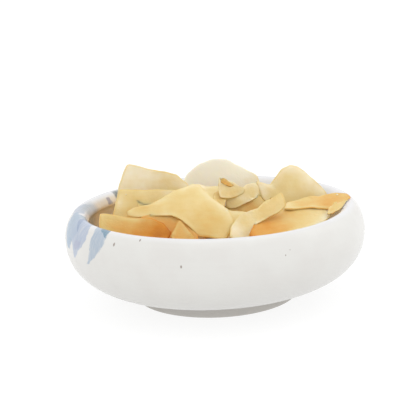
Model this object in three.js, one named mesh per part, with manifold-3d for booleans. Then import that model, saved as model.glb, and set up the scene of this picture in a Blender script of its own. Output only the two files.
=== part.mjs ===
// Stoneware bowl heaped with dried potato slices.
// Millimetres, +Z up. The origin is on the table, under the bowl's centre, and -Y is the front.
import * as THREE from "three";
import Module from "manifold-3d";

const wasm = await Module();
wasm.setup();

// ---- Driving dimensions ------------------------------------------------------------------

const DEGREE = Math.PI / 180;

const BOWL = {
  radius: 90,            // widest, at the belly
  bellyHeight: 41.5,
  rimRadius: 82,         // highest line of the rim
  rimHeight: 56,
  lipRadius: 75.7,       // inner edge of the rounded lip
  lipHeight: 48,
  flankRadius: 64.7,     // where the round flank starts above the foot
  flankHeight: 10.7,
  footRadius: 49.4,
  footTopRadius: 50.8,
  footHeight: 7.6,
  footInnerRadius: 44,
  footChamfer: 0.6,
  recessHeight: 4.5,     // underside of the floor, inside the foot ring
  floorHeight: 10.5,     // inside of the floor
  innerRadius: 80.5,     // widest inside, under the lip
  innerHeight: 37,
  segments: 44,
};

const HEAP = {
  coreGap: 0.4,          // between the packed slices and the bowl
  sliceGap: 0.8,         // between the loose slices and the bowl
  sliceThickness: 2,
  coreWallHeight: 40,    // the packed slices under the loose ones: their level at the wall,
  coreMiddleHeight: 48,  // and in the middle
  coreShoulder: 1.4,     // how early its top starts to fall
  moundMiddle: [2, 10],  // more of them are piled up in the middle
  moundRadius: 50,
  moundDepth: 0.85,      // its size from front to back, as a part of its width
  moundBase: 38,
  moundTop: 58,
  moundSegments: 24,
  skirtRadius: 88,       // a slice may reach this far out over the rim
  ceiling: 100,
};

const SLICE_RINGS = 2;        // rings of corners in a slice, from its middle to its edge
const WIDEST_STEP = 42;       // greatest angle between two of its spokes
const BENT_LENGTH = 40;       // length of slice that a `curl` or a `cup` stands for

// The slices that show at the front, as they lie. `at` is the slice's middle. `heading` turns
// the side that it shows away from the front and `lean` lifts it from flat (0) to upright (90).
// `curl` and `cup` are the degrees through which BENT_LENGTH of it is bent, along and across.
// `corners` are the directions of its edge's corners, from its own right hand up, and how far
// they are from its middle. Each of `folds` is a line, by its direction and distance from the
// middle, and the angle by which what lies past it is turned up.
const SLICES = [
  // left upright
  { at: [-35, 5, 56], heading: -4, lean: 70, curl: -24, cup: 8,
    corners: [[-158, 30], [-100, 17], [-20, 19], [30, 23], [55, 22], [95, 21], [125, 31], [150, 27],
      [180, 26]] },
  // left lower
  { at: [-37, -12, 53], heading: -6, lean: 58, curl: -11, cup: -9,
    corners: [[-153, 21], [-45, 14], [0, 23], [35, 25], [53, 20], [105, 17], [140, 27], [180, 24]] },
  // front sheet
  { at: [-16.5, -31.5, 62.5], heading: 2, lean: 40, curl: -28, cup: -27,
    corners: [[-173, 28], [-166, 19], [-142, 10], [-108, 10], [-81, 15], [-71, 21], [-44, 31],
      [-20, 31], [-5, 26], [18, 17], [61, 19], [73, 18], [106, 13], [152, 15], [170, 22], [171, 35],
      [180, 34]] },
  // front light
  { at: [-18.5, -51, 48], heading: 4, lean: 58, curl: 0, cup: 20,
    corners: [[-132, 6], [-44, 7], [8, 7], [40, 6], [75, 8], [90, 11], [97, 11], [120, 7.5],
      [159, 6.5]] },
  // front brown
  { at: [-27, -42.2, 49.4], heading: -4, lean: 40, curl: 0, cup: 37,
    corners: [[-166, 16], [-115, 10], [-29, 19.5], [-7, 18], [22, 13.8], [54, 12.8], [82, 13.2],
      [125, 16], [144, 19]] },
  // front left
  { at: [-42, -44, 50], heading: -20, lean: 58, curl: 16, cup: 27,
    corners: [[-179, 24], [-135, 9], [-21, 18], [6, 19], [29, 15], [61, 11], [130, 12], [149, 20],
      [158, 28], [169, 26]] },
  // left chip
  { at: [-41, -14.4, 51.4], heading: -6, lean: 50, curl: -12, cup: -20,
    corners: [[-150, 7], [-60, 7], [48, 8], [53, 12], [71, 12], [106, 13], [114, 15], [122, 7],
      [180, 6]] },
  // back round
  { at: [4, 30, 50], heading: 4, lean: 76, curl: -17, cup: 0,
    corners: [[-155, 25], [-103, 20], [-37, 23], [4, 29.5], [11, 29.5], [31, 29.3], [45, 26.8],
      [59, 26], [77, 27], [90, 27.2], [101, 27.3], [112, 27.3], [124, 27], [136, 27], [148, 26.5],
      [175, 26]] },
  // gold strip
  { at: [-2, -1, 58], heading: 6, lean: 24, curl: -9, cup: 9,
    corners: [[-133, 14], [-75, 9.3], [-8, 9.5], [12, 16], [22, 19.4], [34, 19.3], [61, 16], [94, 14],
      [108, 18], [138, 18], [170, 16]] },
  // small curl
  { at: [8, 2.2, 65.3], heading: 16, lean: 60, curl: -30, cup: 20,
    corners: [[-166, 5.6], [-128, 8.4], [-93, 7.8], [-56, 8.5], [-26, 11.7], [-11, 11.9], [-1, 7.5],
      [40, 4.7], [94, 5.6], [119, 7.2]] },
  // curl edge
  { at: [6.2, 2.7, 67.8], heading: 16, lean: 60, curl: 0, cup: 0,
    corners: [[-51, 2.4], [-37, 5.4], [-21, 6.9], [10, 3.9], [81, 3], [118, 3.6], [161, 1.5]] },
  // orange patch
  { at: [4.5, -2.6, 58.3], heading: 10, lean: 34, curl: -10, cup: 0,
    corners: [[-130, 3.7], [-83, 5.7], [-62, 3.8], [-3, 3], [25, 5.2], [50, 7.3], [80, 7.7], [116, 7.2],
      [161, 5]] },
  // pale middle
  { at: [20.5, 3, 59.2], heading: 10, lean: 60, curl: -25, cup: -30,
    corners: [[-179, 8.8], [-175, 13.2], [-165, 14.3], [-157, 15], [-148, 13.6], [-138, 10.6],
      [-122, 6.3], [-74, 4.1], [-13, 6.6], [7, 7.8], [37, 9.4], [55, 9.4], [83, 7.1], [117, 5.7],
      [159, 5.8]] },
  // under middle
  { at: [19, 0.5, 51.2], heading: 4, lean: 62, curl: 21, cup: 0,
    corners: [[-172, 12], [-135, 9], [-71, 8], [-19, 11], [14, 13], [45, 12], [120, 8], [161, 12]] },
  // lit fold
  { at: [25, -32, 55.5], heading: -4, lean: 50, curl: 26, cup: -27, folds: [[-160, 11, 30]],
    corners: [[-178, 11], [-165, 13], [-149, 18], [-136, 22], [-119, 21.5], [-112, 13], [-101, 6.5],
      [-49, 5], [-8, 7.5], [5, 13], [16, 17], [30, 18], [45, 20], [51, 13], [62, 10.5], [81, 5],
      [157, 5.5]] },
  // right peak
  { at: [50, 12, 52], heading: 10, lean: 66, curl: -40, cup: -15, folds: [[170, 15, 25]],
    corners: [[-147, 13], [-85, 15], [-27, 22], [0, 25], [13, 23], [30, 21], [49, 20], [64, 21],
      [77, 23], [90, 24], [103, 22.5], [113, 20.5], [125, 19], [139, 19], [144, 24], [147, 28],
      [168, 21]] },
  // peak side
  { at: [32, 18, 50], heading: -12, lean: 52, curl: 40, cup: 0,
    corners: [[-150, 8], [-81, 10], [-31, 15], [25, 14], [63, 13], [100, 12], [142, 10]] },
  // right front
  { at: [49, -30.4, 50.7], heading: 20, lean: 18, curl: -9, cup: 5,
    corners: [[-171, 34], [-157, 31], [-122, 15], [-18, 14], [12, 26.5], [20, 35.5], [27, 36.5],
      [34, 29.5], [51, 21.5], [65, 19], [98, 17], [143, 20], [165, 26]] },
  // right back
  { at: [61, -7.8, 56.7], heading: 22, lean: 16, curl: 12, cup: 0,
    corners: [[-165, 25.6], [-146, 13.8], [-101, 9.8], [-71, 12], [-46, 13], [-25, 17], [-14, 21.5],
      [2, 21], [16, 16], [28, 10], [77, 5.7], [153, 9], [175, 19]] },
  // right tip
  { at: [72.5, -15.2, 55], heading: 24, lean: 22, curl: -8, cup: 10,
    corners: [[-164, 7.2], [-145, 13], [-133, 10.2], [-92, 3.8], [-4, 7.3], [15, 12.8], [23, 12.9],
      [31, 6.1], [108, 2.5]] },
  // back left
  { at: [-35, 31, 52], heading: 170, lean: 55, curl: -36, cup: -20,
    corners: [[-150, 20], [-90, 18], [-30, 20], [10, 22], [55, 25], [100, 19], [160, 21]] },
  // back middle
  { at: [6, 53, 50], heading: 182, lean: 50, curl: -32, cup: -27,
    corners: [[-170, 27], [-120, 22], [-60, 21], [-10, 24], [40, 23], [95, 22], [140, 24]] },
  // back right
  { at: [47, 36, 48], heading: 152, lean: 48, curl: -32, cup: -22,
    corners: [[-150, 18], [-95, 18], [-40, 19], [10, 20], [70, 19], [125, 23], [170, 19]] },
];

// Further slices round the back: angles in degrees from +X, then radius, height and least lean.
const RINGS = [
  { seed: 0, count: 6, first: 22, last: 138, radius: 50, height: 46, lean: 14 },
];

// ---- Solids and meshes -------------------------------------------------------------------

// A closed solid from points and triangles.
function solidFrom(points, triangles) {
  const vertProperties = new Float32Array(points.flat());
  const triVerts = new Uint32Array(triangles.flat());
  return new wasm.Manifold(new wasm.Mesh({ numProp: 3, vertProperties, triVerts }));
}

function geometryFrom(solid) {
  const mesh = solid.getMesh();
  const geometry = new THREE.BufferGeometry();
  geometry.setAttribute("position", new THREE.BufferAttribute(mesh.vertProperties, 3));
  geometry.setIndex(new THREE.BufferAttribute(mesh.triVerts, 1));
  geometry.computeVertexNormals();
  return geometry;
}

// A mesh's shells are its groups of triangles that share corners. Crossing slices can close off a
// pocket of air, which is a shell inside the solid, so only the largest shell is kept.
function largestShell(geometry) {
  const corners = geometry.index.array;
  const shellOf = labelledCorners(corners, geometry.attributes.position.count);
  const volumes = new Map();
  const [a, b, c] = [new THREE.Vector3(), new THREE.Vector3(), new THREE.Vector3()];
  for (let first = 0; first < corners.length; first += 3) {
    a.fromBufferAttribute(geometry.attributes.position, corners[first]);
    b.fromBufferAttribute(geometry.attributes.position, corners[first + 1]);
    c.fromBufferAttribute(geometry.attributes.position, corners[first + 2]);
    const shell = shellOf(corners[first]);
    volumes.set(shell, (volumes.get(shell) ?? 0) + a.dot(b.cross(c)) / 6);
  }
  const [largest] = [...volumes].reduce((best, entry) => (entry[1] > best[1] ? entry : best));
  const kept = [];
  for (let first = 0; first < corners.length; first += 3) {
    if (shellOf(corners[first]) === largest) {
      kept.push(...corners.slice(first, first + 3));
    }
  }
  geometry.setIndex(kept);
  return geometry;
}

// Joins corners that share a triangle, and returns a function that names a corner's shell.
function labelledCorners(corners, count) {
  const parents = Array.from({ length: count }, (_, corner) => corner);
  const shellOf = (corner) => {
    let root = corner;
    while (parents[root] !== root) {
      parents[root] = parents[parents[root]];
      root = parents[root];
    }
    return root;
  };
  for (let first = 0; first < corners.length; first += 3) {
    parents[shellOf(corners[first + 1])] = shellOf(corners[first]);
    parents[shellOf(corners[first + 2])] = shellOf(corners[first]);
  }
  return shellOf;
}

// Turns a profile of [radius, height] about the upright line through `middle`. It starts on that
// line at the bottom and ends on it at the top, going round the outside. `depth` squeezes it
// from front to back.
function revolved(profile, segments, middle = [0, 0], depth = 1) {
  const rings = profile.slice(1, -1);
  const points = [[...middle, profile[0][1]]];
  for (const [radius, height] of rings) {
    for (let step = 0; step < segments; step += 1) {
      const angle = (2 * Math.PI * step) / segments;
      const x = middle[0] + radius * Math.cos(angle);
      const y = middle[1] + depth * radius * Math.sin(angle);
      points.push([x, y, height]);
    }
  }
  points.push([...middle, profile.at(-1)[1]]);
  const top = points.length - 1;
  const triangles = [];
  for (let step = 0; step < segments; step += 1) {
    const next = (step + 1) % segments;
    triangles.push([0, 1 + next, 1 + step]);
    for (let ring = 0; ring < rings.length - 1; ring += 1) {
      const low = 1 + ring * segments;
      const high = low + segments;
      triangles.push([low + step, low + next, high + next], [low + step, high + next, high + step]);
    }
    const last = 1 + (rings.length - 1) * segments;
    triangles.push([last + step, last + next, top]);
  }
  return solidFrom(points, triangles);
}

// A quarter of a superellipse, as [radius, height] pairs from `from` to `to`. `reach` bends the
// radius and `rise` the height: 1 and 1 make an ellipse.
function quarterCurve(from, to, reach, rise, steps, outward) {
  const pairs = [];
  for (let step = 0; step <= steps; step += 1) {
    const angle = (Math.PI / 2) * (step / steps);
    const across = outward ? Math.sin(angle) ** reach : 1 - Math.cos(angle) ** reach;
    const along = outward ? 1 - Math.cos(angle) ** rise : Math.sin(angle) ** rise;
    pairs.push([from[0] + (to[0] - from[0]) * across, from[1] + (to[1] - from[1]) * along]);
  }
  return pairs;
}

// ---- Bowl --------------------------------------------------------------------------------

// The inside of the bowl, from the middle of its floor up to the lip, moved inward by `gap`.
function innerProfile(gap) {
  const floor = [0, BOWL.floorHeight + gap];
  const widest = [BOWL.innerRadius - gap, BOWL.innerHeight];
  const lip = [BOWL.lipRadius - gap, BOWL.lipHeight];
  const lower = quarterCurve(floor, widest, 0.9, 0.75, 6, true);
  const upper = quarterCurve(widest, lip, 1, 1, 3, false);
  return [...lower, ...upper.slice(1)];
}

// The round of the lip from the rim's highest line inward, moved away from the bowl by `gap`.
function lipProfile(gap) {
  const rim = [BOWL.rimRadius, BOWL.rimHeight + gap];
  const lip = [BOWL.lipRadius - gap, BOWL.lipHeight];
  return quarterCurve(rim, lip, 1, 1, 3, true);
}

function bowlGeometry() {
  const { footRadius, footInnerRadius, footChamfer, recessHeight } = BOWL;
  const foot = [
    [0, recessHeight],
    [footInnerRadius - 2 * footChamfer, recessHeight],
    [footInnerRadius - footChamfer, footChamfer],
    [footInnerRadius, 0],
    [footRadius - footChamfer, 0],
    [footRadius, footChamfer],
    [BOWL.footTopRadius, BOWL.footHeight],
    [BOWL.footTopRadius + 2, BOWL.footHeight + 1],
  ];
  const flankStart = [BOWL.flankRadius, BOWL.flankHeight];
  const belly = [BOWL.radius, BOWL.bellyHeight];
  const rim = [BOWL.rimRadius, BOWL.rimHeight];
  const flank = quarterCurve(flankStart, belly, 1.5, 0.78, 6, true);
  const shoulder = quarterCurve(belly, rim, 1.21, 1.18, 4, false);
  const inside = innerProfile(0).reverse();
  const profile = [...foot, ...flank, ...shoulder.slice(1), ...lipProfile(0).slice(1), ...inside.slice(1)];
  return geometryFrom(revolved(profile, BOWL.segments));
}

// ---- Slices ------------------------------------------------------------------------------

// The directions of a slice's spokes: one to each corner, and evenly spaced ones between corners
// that are far apart. Each comes with how far the edge is from the middle in that direction, on
// the straight line between the corners.
function edgeSpokes(corners) {
  const sorted = corners.map(([direction, reach]) => [((direction + 360) % 360) * DEGREE, reach]);
  sorted.sort((one, other) => one[0] - other[0]);
  const spokes = [];
  for (const [index, [direction, reach]] of sorted.entries()) {
    const [nextDirection, nextReach] = sorted[(index + 1) % sorted.length];
    const turn = (nextDirection - direction + 2 * Math.PI) % (2 * Math.PI);
    const parts = Math.ceil(turn / (WIDEST_STEP * DEGREE));
    for (let part = 0; part < parts; part += 1) {
      const passed = (turn * part) / parts;
      const level = reach * Math.sin(passed) + nextReach * Math.sin(turn - passed);
      spokes.push([direction + passed, (reach * nextReach * Math.sin(turn)) / level]);
    }
  }
  return spokes;
}

// Bends a distance from the middle round an arc that turns through `angle` in BENT_LENGTH, and
// keeps its length: the distance along and the rise from the middle.
function bend(distance, angle) {
  const curvature = (angle * DEGREE) / BENT_LENGTH;
  if (Math.abs(curvature) < 1e-6) {
    return [distance, 0];
  }
  const along = Math.sin(curvature * distance) / curvature;
  const rise = (1 - Math.cos(curvature * distance)) / curvature;
  return [along, rise];
}

// The rise that a slice's folds give to a place in it. It sets in softly over a few millimetres.
function foldRise(x, y, folds) {
  let rise = 0;
  for (const [direction, distance, angle] of folds) {
    const past = x * Math.cos(direction * DEGREE) + y * Math.sin(direction * DEGREE) - distance;
    rise += Math.tan(angle * DEGREE) * Math.log1p(Math.exp(past));
  }
  return rise;
}

// One dried slice: a thin plate with an uneven outline, bent both ways.
function sliceSolid(slice) {
  const spokes = edgeSpokes(slice.corners);
  const places = [[0, 0]];
  for (let ring = 1; ring <= SLICE_RINGS; ring += 1) {
    for (const [direction, reach] of spokes) {
      const distance = (reach * ring) / SLICE_RINGS;
      places.push([distance * Math.cos(direction), distance * Math.sin(direction)]);
    }
  }
  const turn = new THREE.Matrix4().makeRotationZ(slice.heading * DEGREE);
  turn.multiply(new THREE.Matrix4().makeRotationX(slice.lean * DEGREE));
  turn.setPosition(...slice.at);
  const points = [];
  for (const side of [0.5, -0.5]) {
    for (const [x, y] of places) {
      const [along, lift] = bend(x, slice.curl);
      const [across, dip] = bend(y, slice.cup);
      const rise = lift + dip + foldRise(x, y, slice.folds ?? []);
      const point = new THREE.Vector3(along, across, rise + side * HEAP.sliceThickness);
      points.push(point.applyMatrix4(turn).toArray());
    }
  }
  return solidFrom(points, plateTriangles(places.length, SLICE_RINGS, spokes.length));
}

// The triangles of a plate whose two sides each have a middle point and rings of spokes.
function plateTriangles(count, rings, spokes) {
  const triangles = [];
  for (let spoke = 0; spoke < spokes; spoke += 1) {
    const next = (spoke + 1) % spokes;
    const faces = [[0, 1 + spoke, 1 + next]];
    for (let ring = 0; ring < rings - 1; ring += 1) {
      const inner = 1 + ring * spokes;
      const outer = inner + spokes;
      faces.push([inner + spoke, outer + spoke, outer + next], [inner + spoke, outer + next, inner + next]);
    }
    for (const [a, b, c] of faces) {
      triangles.push([a, b, c], [count + c, count + b, count + a]);
    }
    const edge = 1 + (rings - 1) * spokes;
    triangles.push([edge + spoke, count + edge + spoke, count + edge + next]);
    triangles.push([edge + spoke, count + edge + next, edge + next]);
  }
  return triangles;
}

// A repeatable number from 0 to 1 for a slice and one of its properties.
function chance(slice, property) {
  const value = Math.sin(slice * 12.9898 + property * 78.233) * 43758.5453;
  return value - Math.floor(value);
}

// The slices of one ring, each a little unlike the next.
function ringSlices(ring) {
  const slices = [];
  for (let index = 0; index < ring.count; index += 1) {
    const seed = ring.seed + index;
    const bearing = ring.first + (index * (ring.last - ring.first)) / (ring.count - 1);
    const radius = ring.radius + 5 * chance(seed, 1);
    const x = radius * Math.cos(bearing * DEGREE);
    const y = radius * Math.sin(bearing * DEGREE);
    const corners = [0, 1, 2, 3, 4, 5, 6].map((corner) => [
      51 * corner + 20 * chance(seed, 40 + corner),
      17 + 7 * chance(seed, 50 + corner),
    ]);
    slices.push({
      at: [x, y, ring.height + 4 * chance(seed, 2)],
      heading: bearing + 90 + 50 * (chance(seed, 5) - 0.5),
      lean: ring.lean + 25 * chance(seed, 6),
      curl: -50 + 80 * chance(seed, 8),
      cup: -40 + 60 * chance(seed, 9),
      corners,
    });
  }
  return slices;
}

// ---- Heap --------------------------------------------------------------------------------

// The packed slices under the loose ones: they fill the bowl, with a mound in the middle.
function coreSolid() {
  const wall = innerProfile(HEAP.coreGap).filter(([, height]) => height < HEAP.coreWallHeight);
  const edge = [wall.at(-1)[0], HEAP.coreWallHeight];
  const top = quarterCurve(edge, [0, HEAP.coreMiddleHeight], HEAP.coreShoulder, 1, 5, false);
  const filling = revolved([...wall, ...top], BOWL.segments);
  const foot = [HEAP.moundRadius, HEAP.moundBase];
  const side = quarterCurve(foot, [0, HEAP.moundTop], 1, 1, 4, false);
  const profile = [[0, HEAP.moundBase], ...side];
  return filling.add(revolved(profile, HEAP.moundSegments, HEAP.moundMiddle, HEAP.moundDepth));
}

// The room that the slices may fill: the inside of the bowl, and the air above the rim.
function roomSolid() {
  const inside = innerProfile(HEAP.sliceGap);
  const rimLine = lipProfile(HEAP.sliceGap).reverse();
  const skirtHeight = BOWL.rimHeight + HEAP.sliceGap;
  const above = [[HEAP.skirtRadius, skirtHeight], [HEAP.skirtRadius, HEAP.ceiling], [0, HEAP.ceiling]];
  return revolved([...inside, ...rimLine.slice(1), ...above], BOWL.segments);
}

function heapGeometry() {
  const slices = [...SLICES, ...RINGS.flatMap(ringSlices)].map(sliceSolid);
  const loose = slices.reduce((joined, slice) => joined.add(slice));
  return largestShell(geometryFrom(loose.intersect(roomSolid()).add(coreSolid())));
}

// ---- Scene -------------------------------------------------------------------------------

function namedMesh(name, geometry, color, roughness) {
  const mesh = new THREE.Mesh(geometry, new THREE.MeshStandardMaterial({ color, roughness, metalness: 0 }));
  mesh.name = name;
  return mesh;
}

const group = new THREE.Group();
group.add(namedMesh("bowl", bowlGeometry(), 0xe9e8e3, 0.3));
group.add(namedMesh("potato_slices", heapGeometry(), 0xe8cf96, 0.6));

export default group;
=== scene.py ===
"""Stoneware bowl heaped with dried potato slices: every surface and its finish.

Lengths are in millimetres and angles in degrees until a mesh or a light is made, where MM and
np.radians turn them into metres and radians. +Z is up and -Y is the front.
"""

import math

import bpy
import numpy as np
from mathutils import Matrix, Vector


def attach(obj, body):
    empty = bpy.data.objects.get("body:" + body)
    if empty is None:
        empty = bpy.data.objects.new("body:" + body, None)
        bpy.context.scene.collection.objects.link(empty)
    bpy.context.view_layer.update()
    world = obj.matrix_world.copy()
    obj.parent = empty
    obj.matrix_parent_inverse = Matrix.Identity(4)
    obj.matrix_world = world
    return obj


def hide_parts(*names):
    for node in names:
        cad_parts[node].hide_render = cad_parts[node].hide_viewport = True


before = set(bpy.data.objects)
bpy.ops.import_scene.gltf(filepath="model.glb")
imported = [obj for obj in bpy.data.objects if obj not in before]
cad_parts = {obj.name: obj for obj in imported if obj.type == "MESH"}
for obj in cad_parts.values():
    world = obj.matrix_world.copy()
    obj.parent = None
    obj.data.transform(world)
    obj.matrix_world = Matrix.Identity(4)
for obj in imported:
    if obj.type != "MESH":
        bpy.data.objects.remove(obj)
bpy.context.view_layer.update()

MM = 0.001

# ---- Driving dimensions -------------------------------------------------------------------

BOWL = {
    "radius": 90.0,           # widest, at the belly
    "belly_height": 41.5,
    "rim_radius": 82.0,       # highest line of the rim
    "rim_height": 56.0,
    "lip_radius": 75.7,       # inner edge of the rounded lip
    "lip_height": 48.0,
    "flank_radius": 64.7,     # where the round flank starts above the foot
    "flank_height": 10.7,
    "foot_radius": 49.4,
    "foot_top_radius": 50.8,
    "foot_height": 7.6,
    "foot_inner_radius": 44.0,
    "foot_chamfer": 0.6,
    "recess_height": 4.5,     # underside of the floor, inside the foot ring
    "floor_height": 10.5,     # inside of the floor
    "inner_radius": 80.5,     # widest inside, under the lip
    "inner_height": 37.0,
}
THROWN = {                    # how far the thrown wall stands off the true profile
    "oval": 0.22,             # twice round the bowl
    "lobes": 0.12,            # three times round
    "ridges": 0.05,           # left by the fingers, winding up the wall
    "ridge_gap": 4.3,
    "scratches": 0.02,
    "scratch_gap": 1.9,
    "flat_below": 7,          # none of it up to this height, and all of it above the next
    "full_above": 16,
}
BOWL_STEP = 1.2               # between two rows of the bowl's surface
BOWL_COLUMNS = 288
BOWL_UV_SPAN = 400.0          # length along the profile that the UV map's height stands for

SLICE_THICKNESS = 1.0
SLICE_UV_SPAN = 100.0         # length in a flat slice that its UV map's side stands for
WALL_GAP = 0.7                # between a slice and the glaze
BENT_LENGTH = 40              # what curl and cup are given for
DEEPENED_LENGTH = 20          # what the growth of a slice's tone is given for
FINE_GRID = (10, 120)         # rings and spokes of a slice that shows at the front
PLAIN_GRID = (7, 60)          # and of any other
FIRST_SEED = 300              # the first slice's seed, and the next one's is one more
PATTERNS = 37                 # places in the blotches' pattern that the slices take in turn

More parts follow.
